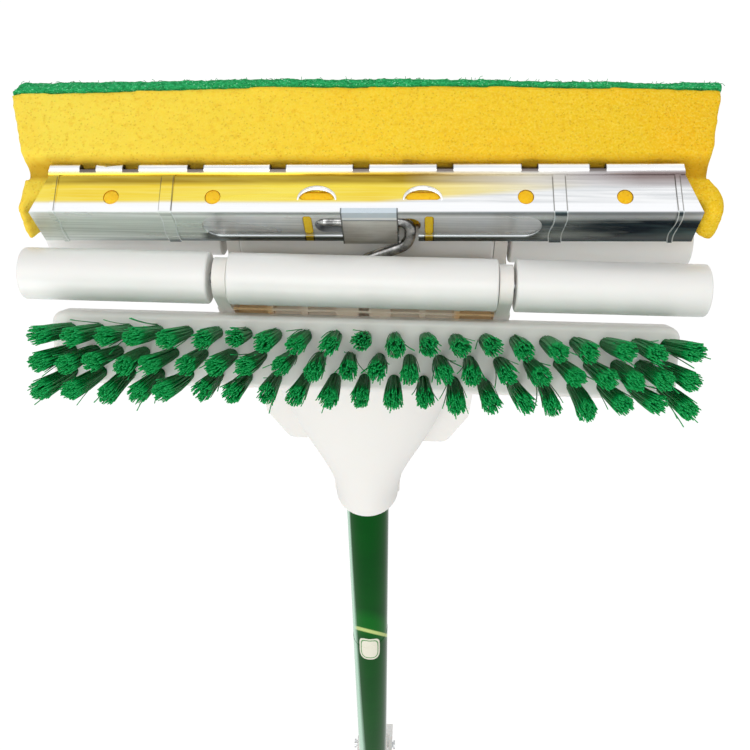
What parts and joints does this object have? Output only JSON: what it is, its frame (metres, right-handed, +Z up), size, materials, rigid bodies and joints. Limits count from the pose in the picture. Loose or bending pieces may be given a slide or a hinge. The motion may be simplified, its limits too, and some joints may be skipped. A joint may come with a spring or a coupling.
{
  "type": "roller sponge mop",
  "caption": "Hand mop with a turned-out sponge refill in a steel clamp, squeeze rollers, a bristle scrub brush, a fan-shaped head and a straight tube handle with a pull lever.",
  "frame": {"origin": "on the handle axis at the end face of the end cap", "axes": "+Z up the handle to the head, -Y the side the brush faces, +X to the right seen from the brush side"},
  "size_m": [0.265, 0.1626, 1.3041],
  "materials": {
    "green_paint": "glossy enamel on steel tube",
    "white_plastic": "satin moulded plastic",
    "white_roller": "smooth moulded plastic",
    "white_lever": "satin moulded plastic",
    "zinc_sheet": "zinc-plated pressed sheet",
    "steel_wire": "bright drawn wire",
    "bristle_green": "polypropylene filament",
    "sponge_yellow": "open-cell sponge",
    "pad_green": "non-woven scouring pad",
    "label_film": "printed film",
    "grip_rubber": "soft ribbed grip"
  },
  "bodies": {
    "handle_and_head": {"handle_tube": "green_paint", "end_cap": "white_plastic", "hand_grip": "grip_rubber", "label_sleeve": "label_film", "front_shell": "white_plastic", "rear_shell": "white_plastic", "shell_screws": "steel_wire", "roller_frame": "white_plastic", "rod_guide": "white_plastic", "front_axle": "steel_wire", "rear_axle": "steel_wire", "axle_caps": "white_plastic", "brush_block": "white_plastic", "brush_screws": "steel_wire", "bristles_upper_row": "bristle_green", "bristles_middle_row": "bristle_green", "bristles_lower_row": "bristle_green", "lever_bracket": "white_plastic", "lever_pivot": "steel_wire"},
    "pull_hook": {"hook_rod": "steel_wire", "rod_coupler": "white_plastic", "pull_rod": "steel_wire", "rod_slider": "white_plastic", "cross_pin": "steel_wire"},
    "refill": {"clamp_channel": "zinc_sheet", "clamp_clip": "zinc_sheet", "sponge": "sponge_yellow", "scrub_pad": "pad_green"},
    "lever": {"lever": "white_lever"},
    "front_roller_left": {"front_roller_left": "white_roller"},
    "front_roller_centre": {"front_roller_centre": "white_roller"},
    "front_roller_right": {"front_roller_right": "white_roller"},
    "rear_roller_left": {"rear_roller_left": "white_roller"},
    "rear_roller_centre": {"rear_roller_centre": "white_roller"},
    "rear_roller_right": {"rear_roller_right": "white_roller"}
  },
  "joints": [
    {"name": "hook_slide", "type": "slide", "parent": "handle_and_head", "child": "pull_hook", "axis": [0, 0, 1], "range_m": [0, 0.016]},
    {"name": "lever_hinge", "type": "hinge", "parent": "handle_and_head", "child": "lever", "pos_m": [0, 0.033, 0.618], "axis": [-1, 0, 0], "range_deg": [0, 25.08]},
    {"name": "refill_tilt", "type": "hinge", "parent": "pull_hook", "child": "refill", "pos_m": [0, -0.003, 1.2678], "axis": [0.9996, 0, 0.0297], "range_deg": [0, 75.8]},
    {"name": "front_roller_left_spin", "type": "hinge", "parent": "handle_and_head", "child": "front_roller_left", "pos_m": [0, -0.017, 1.25], "axis": [1, 0, 0], "continuous": true},
    {"name": "front_roller_centre_spin", "type": "hinge", "parent": "handle_and_head", "child": "front_roller_centre", "pos_m": [0, -0.017, 1.25], "axis": [1, 0, 0], "continuous": true},
    {"name": "front_roller_right_spin", "type": "hinge", "parent": "handle_and_head", "child": "front_roller_right", "pos_m": [0, -0.017, 1.25], "axis": [1, 0, 0], "continuous": true},
    {"name": "rear_roller_left_spin", "type": "hinge", "parent": "handle_and_head", "child": "rear_roller_left", "pos_m": [0, 0.0154, 1.2454], "axis": [1, 0, 0], "continuous": true},
    {"name": "rear_roller_centre_spin", "type": "hinge", "parent": "handle_and_head", "child": "rear_roller_centre", "pos_m": [0, 0.0154, 1.2454], "axis": [1, 0, 0], "continuous": true},
    {"name": "rear_roller_right_spin", "type": "hinge", "parent": "handle_and_head", "child": "rear_roller_right", "pos_m": [0, 0.0154, 1.2454], "axis": [1, 0, 0], "continuous": true}
  ],
  "couplings": [
    {"joint": "lever_hinge", "follows": "hook_slide", "rad_per_m": 27.334}
  ]
}
